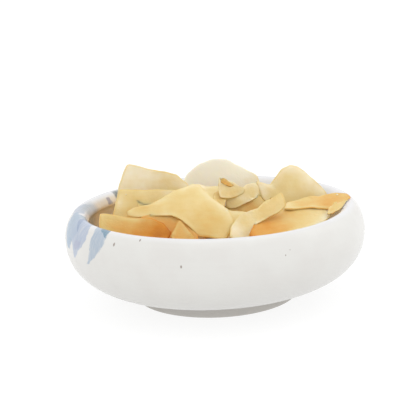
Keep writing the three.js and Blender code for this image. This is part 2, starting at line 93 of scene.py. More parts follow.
# The slices that show, and three larger ones behind them, as they lie. `at` is the slice's
# middle. `heading` turns the side that it shows away from the front, and `lean` lifts it from
# flat (0) to upright (90). `curl` and `cup` are the degrees through which BENT_LENGTH of it is
# bent, along and across. `corners` are the directions of its edge's corners, with 0 to its own
# right and 90 up, and how far they are from its middle. `round` is how many half degrees each
# way round its corners are rounded over. `folds` are lines, by their direction and distance
# from the middle, past which it is turned up by so many degrees. `ripple` is how high its edge
# waves. `tone` runs from pale cream (0) to deep orange (1.6): partly the slice's own colour and
# partly painted shade, deeper orange where a slice lies in shade under others and paler where
# light shines through it. The entry after `tone` is the direction in which that grows and by
# how much in DEEPENED_LENGTH: mostly painted shade, deeper toward the parts that lie low or
# under other slices.
USUAL_SLICE = {"round": 9, "folds": (), "ripple": 0.5}
FRONT_SLICES = [
    {"name": "left_upright", "at": (-35, 5, 56), "heading": -4, "lean": 70,
     "curl": -24, "cup": 8, "tone": 0.56, "tone_and_shade_slope": (-75, 0.2),
     "corners": [(-158, 30), (-100, 17), (-20, 19), (30, 23), (55, 22), (95, 21), (125, 31),
                 (150, 27), (180, 26)]},
    {"name": "left_lower", "at": (-37, -12, 53), "heading": -6, "lean": 58,
     "curl": -11, "cup": -9, "tone": 0.7, "tone_and_shade_slope": (-120, 0.15),
     "corners": [(-153, 21), (-45, 14), (0, 23), (35, 25), (53, 20), (105, 17), (140, 27),
                 (180, 24)]},
    {"name": "front_sheet", "at": (-16.5, -31.5, 62.5), "heading": 2, "lean": 40,
     "curl": -28, "cup": -27, "round": 4, "tone": 0.64, "tone_and_shade_slope": (-100, 0.2),
     "corners": [(-173, 28), (-166, 19), (-142, 10), (-108, 10), (-81, 15), (-71, 21), (-44, 31),
                 (-20, 31), (-5, 26), (18, 17), (61, 19), (73, 18), (106, 13), (152, 15),
                 (170, 22), (171, 35), (180, 34)]},
    {"name": "front_light", "at": (-18.5, -51, 48), "heading": 4, "lean": 58,
     "curl": 0, "cup": 20, "round": 3, "tone": 0.97, "tone_and_shade_slope": (0, 0.15),
     "corners": [(-132, 6), (-44, 7), (8, 7), (40, 6), (75, 8), (90, 11), (97, 11), (120, 7.5),
                 (159, 6.5)]},
    # Its deep orange is partly painted shade, for the hollow under front_sheet.
    {"name": "front_brown", "at": (-27, -42.2, 49.4), "heading": -4, "lean": 40,
     "curl": 0, "cup": 37, "round": 5, "tone": 1.1, "tone_and_shade_slope": (-90, 0.3),
     "corners": [(-166, 16), (-115, 10), (-29, 19.5), (-7, 18), (22, 13.8), (54, 12.8), (82, 13.2),
                 (125, 16), (144, 19)]},
    # It grows deep orange toward its lower right: painted shade under front_sheet.
    {"name": "front_left", "at": (-42, -44, 50), "heading": -20, "lean": 58,
     "curl": 16, "cup": 27, "round": 5, "tone": 1.2, "tone_and_shade_slope": (-30, 0.45),
     "corners": [(-179, 24), (-135, 9), (-21, 18), (6, 19), (29, 15), (61, 11), (130, 12),
                 (149, 20), (158, 28), (169, 26)]},
    # Its orange stands partly for painted shade in the slit under front_sheet's upper edge.
    {"name": "left_chip", "at": (-41, -14.4, 51.4), "heading": -6, "lean": 50,
     "curl": -12, "cup": -20, "round": 3, "tone": 0.9, "tone_and_shade_slope": (90, 0.0),
     "corners": [(-150, 7), (-60, 7), (48, 8), (53, 12), (71, 12), (106, 13), (114, 15), (122, 7),
                 (180, 6)]},
    # Its tone below 0 keeps it at the palest cream: painted light, for light shining through it.
    {"name": "back_round", "at": (4, 30, 50), "heading": 4, "lean": 76,
     "curl": -17, "cup": 0, "round": 12, "tone": -0.1, "tone_and_shade_slope": (-30, 0.35),
     "corners": [(-155, 25), (-103, 20), (-37, 23), (4, 29.5), (11, 29.5), (31, 29.3), (45, 26.8),
                 (59, 26), (77, 27), (90, 27.2), (101, 27.3), (112, 27.3), (124, 27), (136, 27),
                 (148, 26.5), (175, 26)]},
    {"name": "gold_strip", "at": (-2, -1, 58), "heading": 6, "lean": 24,
     "curl": -9, "cup": 9, "tone": 0.5, "tone_and_shade_slope": (0, 0.1),
     "corners": [(-133, 14), (-75, 9.3), (-8, 9.5), (12, 16), (22, 19.4), (34, 19.3), (61, 16),
                 (94, 14), (108, 18), (138, 18), (170, 16)]},
    {"name": "small_curl", "at": (8, 2.2, 65.3), "heading": 16, "lean": 60,
     "curl": -30, "cup": 20, "round": 6, "tone": 0.5, "tone_and_shade_slope": (0, 0.1),
     "corners": [(-166, 5.6), (-128, 8.4), (-93, 7.8), (-56, 8.5), (-26, 11.7), (-11, 11.9),
                 (-1, 7.5), (40, 4.7), (94, 5.6), (119, 7.2)]},
    # An orange sheet on small_curl's upper edge: painted shade, for the shadow in the slit under
    # that raised edge.
    {"name": "shade_under_curl", "at": (6.2, 2.7, 67.8), "heading": 16, "lean": 60,
     "curl": 0, "cup": 0, "round": 4, "tone": 1.0, "tone_and_shade_slope": (-33, 0.0),
     "corners": [(-51, 2.4), (-37, 5.4), (-21, 6.9), (10, 3.9), (81, 3), (118, 3.6), (161, 1.5)]},
    # Its orange stands partly for painted shade under small_curl.
    {"name": "orange_patch", "at": (4.5, -2.6, 58.3), "heading": 10, "lean": 34,
     "curl": -10, "cup": 0, "round": 5, "tone": 0.75, "tone_and_shade_slope": (180, 0.2),
     "corners": [(-130, 3.7), (-83, 5.7), (-62, 3.8), (-3, 3), (25, 5.2), (50, 7.3), (80, 7.7),
                 (116, 7.2), (161, 5)]},
    {"name": "pale_middle", "at": (20.5, 3, 59.2), "heading": 10, "lean": 60,
     "curl": -25, "cup": -30, "round": 4, "tone": 0.46, "tone_and_shade_slope": (-120, 0.2),
     "corners": [(-165, 14.3), (-157, 15), (-148, 13.6), (-138, 10.6), (-122, 6.3), (-74, 4.1),
                 (-13, 6.6), (7, 7.8), (37, 9.4), (55, 9.4), (83, 7.1), (117, 5.7), (159, 5.8),
                 (-179, 8.8), (-175, 13.2)]},
    # Its orange is partly painted shade and glow, for the hollow under pale_middle.
    {"name": "under_middle", "at": (19, 0.5, 51.2), "heading": 4, "lean": 62,
     "curl": 21, "cup": 0, "tone": 0.9, "tone_and_shade_slope": (-90, 0.3),
     "corners": [(-172, 12), (-135, 9), (-71, 8), (-19, 11), (14, 13), (45, 12), (120, 8),
                 (161, 12)]},
    {"name": "lit_fold", "at": (25, -32, 55.5), "heading": -4, "lean": 50,
     "curl": 26, "cup": -27, "round": 3, "folds": [(-160, 11, 30)],
     "tone": 0.55, "tone_and_shade_slope": (20, 0.15),
     "corners": [(-136, 22), (-119, 21.5), (-112, 13), (-101, 6.5), (-49, 5), (-8, 7.5), (5, 13),
                 (16, 17), (30, 18), (45, 20), (51, 13), (62, 10.5), (81, 5), (157, 5.5),
                 (-178, 11), (-165, 13), (-149, 18)]},
    {"name": "right_peak", "at": (50, 12, 52), "heading": 10, "lean": 66,
     "curl": -40, "cup": -15, "round": 3, "folds": [(170, 15, 25)],
     "tone": 0.58, "tone_and_shade_slope": (-90, 0.15),
     "corners": [(-147, 13), (-85, 15), (-27, 22), (0, 25), (13, 23), (30, 21), (49, 20), (64, 21),
                 (77, 23), (90, 24), (103, 22.5), (113, 20.5), (125, 19), (139, 19), (144, 24),
                 (147, 28), (168, 21)]},
    {"name": "peak_side", "at": (32, 18, 50), "heading": -12, "lean": 52,
     "curl": 40, "cup": 0, "tone": 0.75, "tone_and_shade_slope": (0, 0.15),
     "corners": [(-150, 8), (-81, 10), (-31, 15), (25, 14), (63, 13), (100, 12), (142, 10)]},
    # It grows deep orange toward its left end: painted shade and glow under lit_fold.
    {"name": "right_front", "at": (49, -30.4, 50.7), "heading": 20, "lean": 18,
     "curl": -9, "cup": 5, "tone": 0.76, "tone_and_shade_slope": (-170, 0.4),
     "corners": [(-171, 34), (-157, 31), (-122, 15), (-18, 14), (12, 26.5), (20, 35.5), (27, 36.5),
                 (34, 29.5), (51, 21.5), (65, 19), (98, 17), (143, 20), (165, 26)]},
    {"name": "right_back", "at": (61, -7.8, 56.7), "heading": 22, "lean": 16,
     "curl": 12, "cup": 0, "round": 4, "tone": 0.87, "tone_and_shade_slope": (0, 0.12),
     "corners": [(-165, 25.6), (-146, 13.8), (-101, 9.8), (-71, 12), (-46, 13), (-25, 17),
                 (-14, 21.5), (2, 21), (16, 16), (28, 10), (77, 5.7), (153, 9), (175, 19)]},
    {"name": "right_tip", "at": (72.5, -15.2, 55), "heading": 24, "lean": 22,
     "curl": -8, "cup": 10, "round": 3, "tone": 0.7, "tone_and_shade_slope": (-90, 0.0),
     "corners": [(-164, 7.2), (-145, 13), (-133, 10.2), (-92, 3.8), (-4, 7.3), (15, 12.8),
                 (23, 12.9), (31, 6.1), (108, 2.5)]},
    {"name": "back_left", "at": (-35, 31, 52), "heading": 170, "lean": 55,
     "curl": -36, "cup": -20, "round": 24, "tone": 0.45, "tone_and_shade_slope": (-90, 0.3),
     "corners": [(-150, 20), (-90, 18), (-30, 20), (10, 22), (55, 25), (100, 19), (160, 21)]},
    {"name": "back_middle", "at": (6, 53, 50), "heading": 182, "lean": 50,
     "curl": -32, "cup": -27, "round": 24, "tone": 0.3, "tone_and_shade_slope": (-90, 0.3),
     "corners": [(-170, 27), (-120, 22), (-60, 21), (-10, 24), (40, 23), (95, 22), (140, 24)]},
    {"name": "back_right", "at": (47, 36, 48), "heading": 152, "lean": 48,
     "curl": -32, "cup": -22, "round": 24, "tone": 0.55, "tone_and_shade_slope": (-90, 0.3),
     "corners": [(-150, 18), (-95, 18), (-40, 19), (10, 20), (70, 19), (125, 23), (170, 19)]},
]

# Further slices, in rings round the bowl: the seed of the ring's first slice, how many there
# are, the angles of the first and the last from +X, and their least radius, height and lean.
SLICE_RINGS = [
    {"seed": 0, "count": 6, "first": 22, "last": 138, "radius": 50, "height": 46, "lean": 14},
    {"seed": 80, "count": 8, "first": 190, "last": 352, "radius": 54, "height": 35, "lean": 6},
    {"seed": 120, "count": 6, "first": 10, "last": 170, "radius": 50, "height": 41, "lean": 6},
    {"seed": 160, "count": 6, "first": 0, "last": 300, "radius": 22, "height": 43, "lean": 4},
]

# ---- Shapes -------------------------------------------------------------------------------


def quarter_curve(start, end, reach, rise, steps, outward):
    """A quarter of a superellipse, as rows of radius and height from start to end.

    With the angle a from 0 to 90 degrees, an outward curve's radius goes as sin(a) to the power
    of reach and its height as 1 - cos(a) to the power of rise. In an inward curve the sine and
    the cosine change places."""
    angle = np.linspace(0, np.pi / 2, steps + 1)
    across = np.sin(angle) ** reach if outward else 1 - np.cos(angle) ** reach
    along = 1 - np.cos(angle) ** rise if outward else np.sin(angle) ** rise
    radius = start[0] + (end[0] - start[0]) * across
    height = start[1] + (end[1] - start[1]) * along
    return np.column_stack([radius, height])


def smooth_step(values, low, high):
    """0 below low, 1 above high and a smooth rise between them: 3t squared less 2t cubed."""
    t = np.clip((values - low) / (high - low), 0, 1)
    return t * t * (3 - 2 * t)


def along_lengths(line):
    """The length along a line of points up to each of them."""
    steps = np.linalg.norm(np.diff(line, axis=0), axis=1)
    return np.concatenate([[0], np.cumsum(steps)])


def evenly_spaced(line, step):
    """The same line with its points a step apart."""
    length = along_lengths(line)
    places = np.linspace(0, length[-1], int(round(length[-1] / step)) + 1)
    return np.column_stack([np.interp(places, length, values) for values in line.T])


def chance(item, trait):
    """A repeatable number from 0 to 1 for an item and one of its traits."""
    value = math.sin(item * 12.9898 + trait * 78.233) * 43758.5453
    return value - math.floor(value)


def chosen(item, trait, low, high):
    """A repeatable number from low to high."""
    return low + (high - low) * chance(item, trait)


def start_angle(item, trait):
    """A repeatable angle in radians, from which a wave starts or a crumb is turned."""
    return chosen(item, trait, 0, 6.28)


def turned_faces(rows, columns):
    """Quads and triangles of a surface that closes round: a pole, rows of corners, and a pole.

    Seen along the line from the last pole to the first, the columns run clockwise."""
    row = 1 + columns * np.arange(rows - 1)[:, None]
    step = np.arange(columns)[None, :]
    after = (step + 1) % columns
    next_row = row + columns
    quads = np.stack([row + step, row + after, next_row + after, next_row + step], axis=-1)
    first, last = 1, 1 + columns * (rows - 1)
    near = np.stack([np.zeros_like(step), first + after, first + step], axis=-1)
    far = np.stack([last + step, last + after, np.full_like(step, last + columns)], axis=-1)
    return quads.reshape(-1, 4), np.concatenate([near, far]).reshape(-1, 3)


def new_piece(name, points, quads, triangles, material):
    """A smooth mesh object at the origin from points in millimetres."""
    mesh = bpy.data.meshes.new(name)
    mesh.from_pydata((points * MM).tolist(), [], quads.tolist() + triangles.tolist())
    mesh.polygons.foreach_set("use_smooth", np.ones(len(mesh.polygons), bool))
    mesh.materials.append(material)
    mesh.update()
    piece = bpy.data.objects.new(name, mesh)
    bpy.context.scene.collection.objects.link(piece)
    return piece


def write_corner_map(piece, name, pairs):
    """A UV map from one pair of numbers for each face corner."""
    layer = piece.data.uv_layers.new(name=name)
    layer.data.foreach_set("uv", pairs.astype(np.float32).ravel())


def write_trait(piece, name, values):
    """A number for each point, which the material reads by name."""
    trait = piece.data.attributes.new(name, "FLOAT", "POINT")
    trait.data.foreach_set("value", values.astype(np.float32))


# ---- Bowl ---------------------------------------------------------------------------------


def inner_profile(gap, steps=48):
    """The inside of the bowl from the middle of its floor up to the lip, moved inward by gap."""
    floor = (0, BOWL["floor_height"] + gap)
    widest = (BOWL["inner_radius"] - gap, BOWL["inner_height"])
    lip = (BOWL["lip_radius"] - gap, BOWL["lip_height"])
    lower = quarter_curve(floor, widest, 0.9, 0.75, steps, True)
    upper = quarter_curve(widest, lip, 1, 1, steps // 2, False)
    return np.vstack([lower, upper[1:]])


def lip_profile(gap):
    """The round of the lip from the rim's highest line inward, moved off the bowl by gap."""
    rim = (BOWL["rim_radius"], BOWL["rim_height"] + gap)
    lip = (BOWL["lip_radius"] - gap, BOWL["lip_height"])
    return quarter_curve(rim, lip, 1, 1, 12, True)


def bowl_profile():
    """Radius and height from the middle of the recess, round the outside and down the inside.

    Each part is a line or a superellipse quarter. The line is cut into even steps and each
    point moved to the average of its neighbours, which rounds the foot's edges."""
    chamfer = BOWL["foot_chamfer"]
    foot = np.array([
        (0, BOWL["recess_height"]),
        (BOWL["foot_inner_radius"] - 2 * chamfer, BOWL["recess_height"]),
        (BOWL["foot_inner_radius"] - chamfer, chamfer),
        (BOWL["foot_inner_radius"], 0),
        (BOWL["foot_radius"] - chamfer, 0),
        (BOWL["foot_radius"], chamfer),
        (BOWL["foot_top_radius"], BOWL["foot_height"]),
        (BOWL["foot_top_radius"] + 2, BOWL["foot_height"] + 1),
    ])
    flank_start = (BOWL["flank_radius"], BOWL["flank_height"])
    belly = (BOWL["radius"], BOWL["belly_height"])
    rim = (BOWL["rim_radius"], BOWL["rim_height"])
    flank = quarter_curve(flank_start, belly, 1.5, 0.78, 48, True)
    shoulder = quarter_curve(belly, rim, 1.21, 1.18, 32, False)
    inside = inner_profile(0)[::-1]
    line = np.vstack([foot, flank, shoulder[1:], lip_profile(0)[1:], inside[1:]])
    line = evenly_spaced(line, BOWL_STEP)
    line[1:-1] = (line[:-2] + 2 * line[1:-1] + line[2:]) / 4
    return line


def drop_from_rim(profile):
    """The length along the profile from the rim's top: above 0 outside and below 0 inside."""
    length = along_lengths(profile)
    return length[np.argmax(profile[:, 1])] - length


def thrown_unevenness(profile, drop, angle):
    """How far the thrown wall stands off the true profile, along its normal.

    The sum of two cosines of the angle, twice and three times round, and two sines of the drop
    plus or less the angle, which wind up the wall. It fades out at the foot, which stays flat."""
    oval = THROWN["oval"] * np.cos(2 * angle - 1.1)
    lobes = THROWN["lobes"] * np.cos(3 * angle + 0.4)
    ridges = THROWN["ridges"] * np.sin(2 * np.pi * drop / THROWN["ridge_gap"] + angle)
    ridges = ridges * (1 + 0.5 * np.cos(angle - 2))
    scratches = THROWN["scratches"] * np.sin(2 * np.pi * drop / THROWN["scratch_gap"] - angle)
    fade = smooth_step(profile[:, 1], THROWN["flat_below"], THROWN["full_above"])[:, None]
    return fade * (oval + lobes + ridges + scratches)


def make_bowl(material):
    """The profile turned about the upright axis, moved along its normal by the unevenness.

    A point is (r cos a, r sin a, z). Its UV map holds the angle from the back and the length
    along the profile, so that the paint can be laid out as it was brushed."""
    profile = bowl_profile()
    drop = drop_from_rim(profile)
    middle = profile[1:-1]
    along = np.gradient(profile, axis=0)[1:-1]
    along /= np.linalg.norm(along, axis=1, keepdims=True)
    angle = np.pi / 2 + 2 * np.pi * np.arange(BOWL_COLUMNS)[None, :] / BOWL_COLUMNS
    push = thrown_unevenness(middle, drop[1:-1, None], angle)
    radius = middle[:, :1] + push * along[:, 1:]
    height = middle[:, 1:] - push * along[:, :1]
    wall = np.stack([radius * np.cos(angle), radius * np.sin(angle), height], axis=-1)
    poles = [(0, 0, profile[0, 1]), (0, 0, profile[-1, 1])]
    points = np.vstack([poles[:1], wall.reshape(-1, 3), poles[1:]])
    quads, triangles = turned_faces(len(middle), BOWL_COLUMNS)
    bowl = new_piece("stoneware_bowl", points, quads, triangles, material)
    write_corner_map(bowl, "glaze_map", bowl_corner_map(drop))
    return bowl


def bowl_corner_map(drop):
    """For each face corner its share of the way round from the back, and 0.5 plus its drop as
    a share of BOWL_UV_SPAN."""
    level = 0.5 + drop / BOWL_UV_SPAN
    step = np.arange(BOWL_COLUMNS)
    rows = len(drop) - 2
    low = np.repeat(level[1:rows, None], BOWL_COLUMNS, axis=1)
    high = np.repeat(level[2:rows + 1, None], BOWL_COLUMNS, axis=1)
    here = np.repeat(step[None, :] / BOWL_COLUMNS, rows - 1, axis=0)
    next_one = here + 1 / BOWL_COLUMNS
    quads = np.stack([here, low, next_one, low, next_one, high, here, high], axis=-1)
    turn = step / BOWL_COLUMNS
    half = turn + 0.5 / BOWL_COLUMNS
    after = turn + 1 / BOWL_COLUMNS
    first, last = np.full(BOWL_COLUMNS, level[1]), np.full(BOWL_COLUMNS, level[rows])
    near = np.stack([half, np.full(BOWL_COLUMNS, level[0]), after, first, turn, first], axis=-1)
    far = np.stack([turn, last, after, last, half, np.full(BOWL_COLUMNS, level[-1])], axis=-1)
    return np.concatenate([quads.ravel(), near.ravel(), far.ravel()])


# ---- Slices -------------------------------------------------------------------------------


def edge_reach(angle, form):
    """How far a slice's edge is from its middle, in the directions that angle holds.

    The edge runs straight from corner to corner. On the line through p and q the reach toward u
    is (p x q) / (u x (q - p)), and averaging over a few degrees rounds the corners. Two cosines
    make it a little uneven."""
    corners = np.array(sorted((toward % 360, reach) for toward, reach in form["corners"]), float)
    direction, reach = np.radians(corners[:, 0]), corners[:, 1]
    here = np.column_stack([reach * np.cos(direction), reach * np.sin(direction)])
    change = np.roll(here, -1, axis=0) - here
    fine = np.radians(np.arange(720) / 2)
    side = (np.searchsorted(direction, fine, side="right") - 1) % len(corners)
    p, step = here[side], change[side]
    product = p[:, 0] * step[:, 1] - p[:, 1] * step[:, 0]
    edge = product / (np.cos(fine) * step[:, 1] - np.sin(fine) * step[:, 0])
    spread = np.bartlett(2 * form["round"] + 1)
    three_rounds = np.convolve(np.tile(edge, 3), spread / spread.sum(), "same")
    edge = three_rounds[len(fine):2 * len(fine)]
    slow = 0.006 * np.cos(7 * fine + start_angle(form["seed"], 31))
    quick = 0.005 * np.cos(17 * fine + start_angle(form["seed"], 32))
    return np.interp(angle, fine, edge * (1 + slow + quick), period=2 * np.pi)


def bend(distance, angle):
    """Lays a distance from the middle round an arc that turns through angle in BENT_LENGTH.

    Returns the distance along and the rise: sin(kd)/k and (1 - cos(kd))/k."""
    curvature = math.radians(angle) / BENT_LENGTH
    if abs(curvature) < 1e-6:
        return distance, 0 * distance
    return np.sin(curvature * distance) / curvature, (1 - np.cos(curvature * distance)) / curvature


def sheet_points(x, y, out, form):
    """The middle of a slice's thickness: bent along and across, folded and rippled.

    A fold raises by its slope times log(1 + exp(past)), where past is the distance past its
    line. The ripple is a cosine of the angle round the slice plus half a product of two more,
    times the cube of how far out the point is."""
    along, rise = bend(x, form["curl"])
    across, dip = bend(y, form["cup"])
    rise = rise + dip
    for direction, distance, angle in form["folds"]:
        toward = math.radians(direction)
        past = x * math.cos(toward) + y * math.sin(toward) - distance
        rise = rise + math.tan(math.radians(angle)) * np.logaddexp(0, past)
    turn = np.arctan2(y, x)
    seed = form["seed"]
    slow = np.cos(3 * turn + start_angle(seed, 21))
    quick = np.cos(7 * turn + start_angle(seed, 22)) * np.cos(2 * turn + start_angle(seed, 23))
    ripple = form["ripple"] * (slow + 0.5 * quick) * out ** 3
    return np.stack([along, across, rise + ripple], axis=-1)


def slice_turn(form):
    """The matrix that turns a flat slice the way that it lies."""
    turn = Matrix.Rotation(math.radians(form["heading"]), 3, "Z")
    return np.array(turn @ Matrix.Rotation(math.radians(form["lean"]), 3, "X"))


def press_inside(points):
    """Moves what would be in the bowl's wall inward to it, as the wall bends a slice.

    Just above the rim the limit is past the bowl's widest, so nothing there is moved."""
    free = (BOWL["radius"] + 5, BOWL["rim_height"] + WALL_GAP + 0.4)
    edge = np.vstack([inner_profile(WALL_GAP), lip_profile(WALL_GAP)[::-1], [free]])
    radius = np.hypot(points[..., 0], points[..., 1])
    limit = np.interp(points[..., 2], edge[:, 1], edge[:, 0])
    share = np.minimum(1, limit / np.maximum(radius, 1e-6))
    return points * np.stack([share, share, np.ones_like(share)], axis=-1)


def placed_on(x, y, out, form, offset):
    """Points of a lying slice, at an offset from the middle of its thickness.

    The offset is along the normal: the cross product of two small moves on the sheet."""
    nudge = 0.05
    middle = sheet_points(x, y, out, form)
    along = sheet_points(x + nudge, y, out, form) - middle
    across = sheet_points(x, y + nudge, out, form) - middle
    normal = np.cross(along, across)
    normal /= np.linalg.norm(normal, axis=-1, keepdims=True)
    points = (middle + offset[:, None] * normal) @ slice_turn(form).T
    return press_inside(points + np.array(form["at"], float))


def slice_surface(form, rings, spokes):
    """A closed thin plate: its underside from the middle out, round the edge and back on top.

    The rings lie closer toward the edge, as the power of an even spacing, and the cut edge is
    three rows, the middle one furthest out. Returns points, and for each one its place in the
    flat slice and how far out it is, from 0 to 1."""
    last_ring, crowding = 0.975, 0.75
    edge_rows, set_back = np.array([-0.7, 0, 0.7]), 0.012
    inward = np.linspace(0, 1, rings + 1)[1:] ** crowding * last_ring
    out = np.concatenate([inward, 1 - set_back * np.abs(edge_rows), inward[::-1]])
    half = SLICE_THICKNESS / 2
    offset = half * np.concatenate([-np.ones(rings), edge_rows, np.ones(rings)])
    angle = 2 * np.pi * np.arange(spokes)[None, :] / spokes
    reach = edge_reach(angle, form) * out[:, None]
    x = np.concatenate([[0], (reach * np.cos(angle)).ravel(), [0]])
    y = np.concatenate([[0], (reach * np.sin(angle)).ravel(), [0]])
    out = np.concatenate([[0], np.repeat(out, spokes), [0]])
    offset = np.concatenate([[-half], np.repeat(offset, spokes), [half]])
    return placed_on(x, y, out, form, offset), np.column_stack([x, y]), out


def tone_over(place, form):
    """The tone at each place of a slice, which grows evenly in one direction: mostly painted
    shade.
    """
    direction, amount = form["tone_and_shade_slope"]
    toward = math.radians(direction)
    distance = place[:, 0] * math.cos(toward) + place[:, 1] * math.sin(toward)
    return form["tone"] + amount / DEEPENED_LENGTH * distance


def ring_slices(ring):
    """The slices of one ring round the bowl, seven-cornered and each a little unlike the next."""
    forms = []
    for index in range(ring["count"]):
        seed = ring["seed"] + index
        share = index / (ring["count"] - 1)
        bearing = ring["first"] + share * (ring["last"] - ring["first"])
        radius = ring["radius"] + chosen(seed, 1, 0, 5)
        x = radius * math.cos(math.radians(bearing))
        y = radius * math.sin(math.radians(bearing))
        forms.append({
            "at": (x, y, ring["height"] + chosen(seed, 2, 0, 4)),
            "heading": bearing + 90 + chosen(seed, 5, -25, 25),
            "lean": ring["lean"] + chosen(seed, 6, 0, 25),
            "curl": chosen(seed, 8, -50, 30),
            "cup": chosen(seed, 9, -40, 20),
            "corners": [(51 * corner + chosen(seed, 40 + corner, 0, 20),
                         chosen(seed, 50 + corner, 17, 24)) for corner in range(7)],
            "round": 30,
            "ripple": 1.0,
            "tone": chosen(seed, 12, 0.7, 1.1),
            # Deeper toward the bottom of each slice: painted shade.
            "tone_and_shade_slope": (-90, 0.2),
        })
    return forms


def every_slice():
    """All the slices, each with its seed and the usual values where it states none."""
    stated = FRONT_SLICES + [form for ring in SLICE_RINGS for form in ring_slices(ring)]
    return [{**USUAL_SLICE, **form, "seed": FIRST_SEED + index}
            for index, form in enumerate(stated)]


def make_slices(forms, material):
    """All the slices as one joined mesh, with the traits that the material reads."""
    parts = []
    for form in forms:
        rings, spokes = FINE_GRID if "name" in form else PLAIN_GRID
        points, place, out = slice_surface(form, rings, spokes)
        quads, triangles = turned_faces(2 * rings + 3, spokes)
        parts.append((points, quads, triangles, place, out, tone_over(place, form)))
    points, quads, triangles, place, out, tone = zip(*parts)
    first = np.cumsum([0] + [len(part) for part in points])
    quads = np.vstack([part + start for part, start in zip(quads, first)])
    triangles = np.vstack([part + start for part, start in zip(triangles, first)])
    slices = new_piece("dried_potato_slices", np.vstack(points), quads, triangles, material)
    corners = np.concatenate([quads.ravel(), triangles.ravel()])
    write_corner_map(slices, "slice_map", np.vstack(place)[corners] / SLICE_UV_SPAN + 0.5)
    write_trait(slices, "outward", np.concatenate(out))
    write_trait(slices, "tone", np.concatenate(tone))
    write_trait(slices, "seed", np.repeat(np.arange(len(parts)) % PATTERNS, np.diff(first)))
    return slices


# ---- Crumbs -------------------------------------------------------------------------------

# Broken bits: the slice that each lies on, the direction and distance from that slice's middle,
# and its size.
CRUMBS = [
    {"on": "right_front", "direction": -120, "distance": 12, "size": 0.9},
    {"on": "right_back", "direction": 5, "distance": 15, "size": 0.8},
    {"on": "front_sheet", "direction": -7, "distance": 24, "size": 0.6},
    {"on": "left_lower", "direction": 140, "distance": 21, "size": 0.5},
    {"on": "back_middle", "direction": 60, "distance": 9, "size": 1.0},
    {"on": "back_right", "direction": 110, "distance": 8, "size": 0.9},
    {"on": "gold_strip", "direction": 150, "distance": 6, "size": 0.6},
]
CRUMB_ROWS = 9
CRUMB_COLUMNS = 16
CRUMB_DEPTH = 0.7             # a crumb's depth and height as shares of its width
CRUMB_HEIGHT = 0.55
CRUMB_TONE = 0.25


def crumb_surface(centre, size, seed):
    """A closed ball squeezed to a flake: its radius is the size times 1 plus two cosines, one
    three times round and the other from pole to pole."""
    polar = np.pi * np.arange(1, CRUMB_ROWS + 1)[:, None] / (CRUMB_ROWS + 1)
    turn = 2 * np.pi * np.arange(CRUMB_COLUMNS)[None, :] / CRUMB_COLUMNS
    sides = 0.22 * np.cos(3 * turn + start_angle(seed, 61)) * np.sin(polar)
    radius = size * (1 + (sides + 0.15 * np.cos(2 * polar + seed)))
    x = radius * np.sin(polar) * np.cos(turn)
    y = CRUMB_DEPTH * radius * np.sin(polar) * np.sin(turn)
    z = -CRUMB_HEIGHT * radius * np.cos(polar) * np.ones_like(turn)
    pole = CRUMB_HEIGHT * size * (1 + 0.15 * math.cos(seed))
    body = np.stack([x, y, z], axis=-1).reshape(-1, 3)
    points = np.vstack([[(0, 0, -pole)], body, [(0, 0, pole)]])
    spin = np.array(Matrix.Rotation(start_angle(seed, 62), 3, "Z"))
    return points @ spin.T + centre


def make_crumbs(forms, material):
    """The broken bits that lie on the slices, as one joined mesh."""
    named = {form["name"]: form for form in forms if "name" in form}
    parts = []
    for seed, crumb in enumerate(CRUMBS):
        form = named[crumb["on"]]
        direction = math.radians(crumb["direction"])
        x = np.array([crumb["distance"] * math.cos(direction)])
        y = np.array([crumb["distance"] * math.sin(direction)])
        lift = np.array([0.5 * SLICE_THICKNESS + 0.35 * crumb["size"]])
        centre = placed_on(x, y, np.zeros(1), form, lift)[0]
        parts.append(crumb_surface(centre, crumb["size"], seed))
    quads, triangles = turned_faces(CRUMB_ROWS, CRUMB_COLUMNS)
    first = len(parts[0]) * np.arange(len(parts))
    every_quad = np.vstack([quads + start for start in first])
    every_triangle = np.vstack([triangles + start for start in first])
    crumbs = new_piece("potato_crumbs", np.vstack(parts), every_quad, every_triangle, material)
    write_trait(crumbs, "tone", np.full(len(parts) * len(parts[0]), CRUMB_TONE))
    return crumbs


# ---- Core ---------------------------------------------------------------------------------

CORE = {
    "wall_height": 33.0,
    "middle_height": 45.0,
    "wall_gap": 0.4,
    "lump": 1.6,              # height of the waves
    "lumpy_radius": 75.0,     # and none of them outside this
    "step": 2.5,              # between two rows
    "columns": 160,
}


def make_core(material):
    """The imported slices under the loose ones, as one lumpy filling.

    Its top is a superellipse quarter from the wall to the middle, raised and lowered by the sum
    of two products of sines, which fade out toward the wall."""
    wall = inner_profile(CORE["wall_gap"])
    wall = wall[wall[:, 1] < CORE["wall_height"]]
    edge = (wall[-1, 0], CORE["wall_height"])
    top = quarter_curve(edge, (0, CORE["middle_height"]), 1.4, 1, 60, False)
    line = evenly_spaced(np.vstack([wall, top[1:]]), CORE["step"])
    angle = 2 * np.pi * np.arange(CORE["columns"])[None, :] / CORE["columns"]
    radius = line[1:-1, :1]
    x = radius * np.cos(angle)
    y = radius * np.sin(angle)
    waves = np.sin(x / 4.1 + 1.3) * np.sin(y / 5.3)
    crossed = 0.8 * np.sin((x + y) / 6.7) * np.sin((x - 2 * y) / 9.1)
    share = smooth_step(line[1:-1, 1:], CORE["wall_height"] - 1, CORE["wall_height"] + 4)
    share = share * (radius < CORE["lumpy_radius"])
    height = line[1:-1, 1:] + CORE["lump"] * (waves + crossed) * share
    body = np.stack([x, y, height], axis=-1).reshape(-1, 3)
    points = np.vstack([[(0, 0, line[0, 1])], body, [(0, 0, line[-1, 1])]])
    quads, triangles = turned_faces(len(line) - 2, CORE["columns"])
    return new_piece("packed_slices_core", points, quads, triangles, material)


# ---- Finishes -----------------------------------------------------------------------------


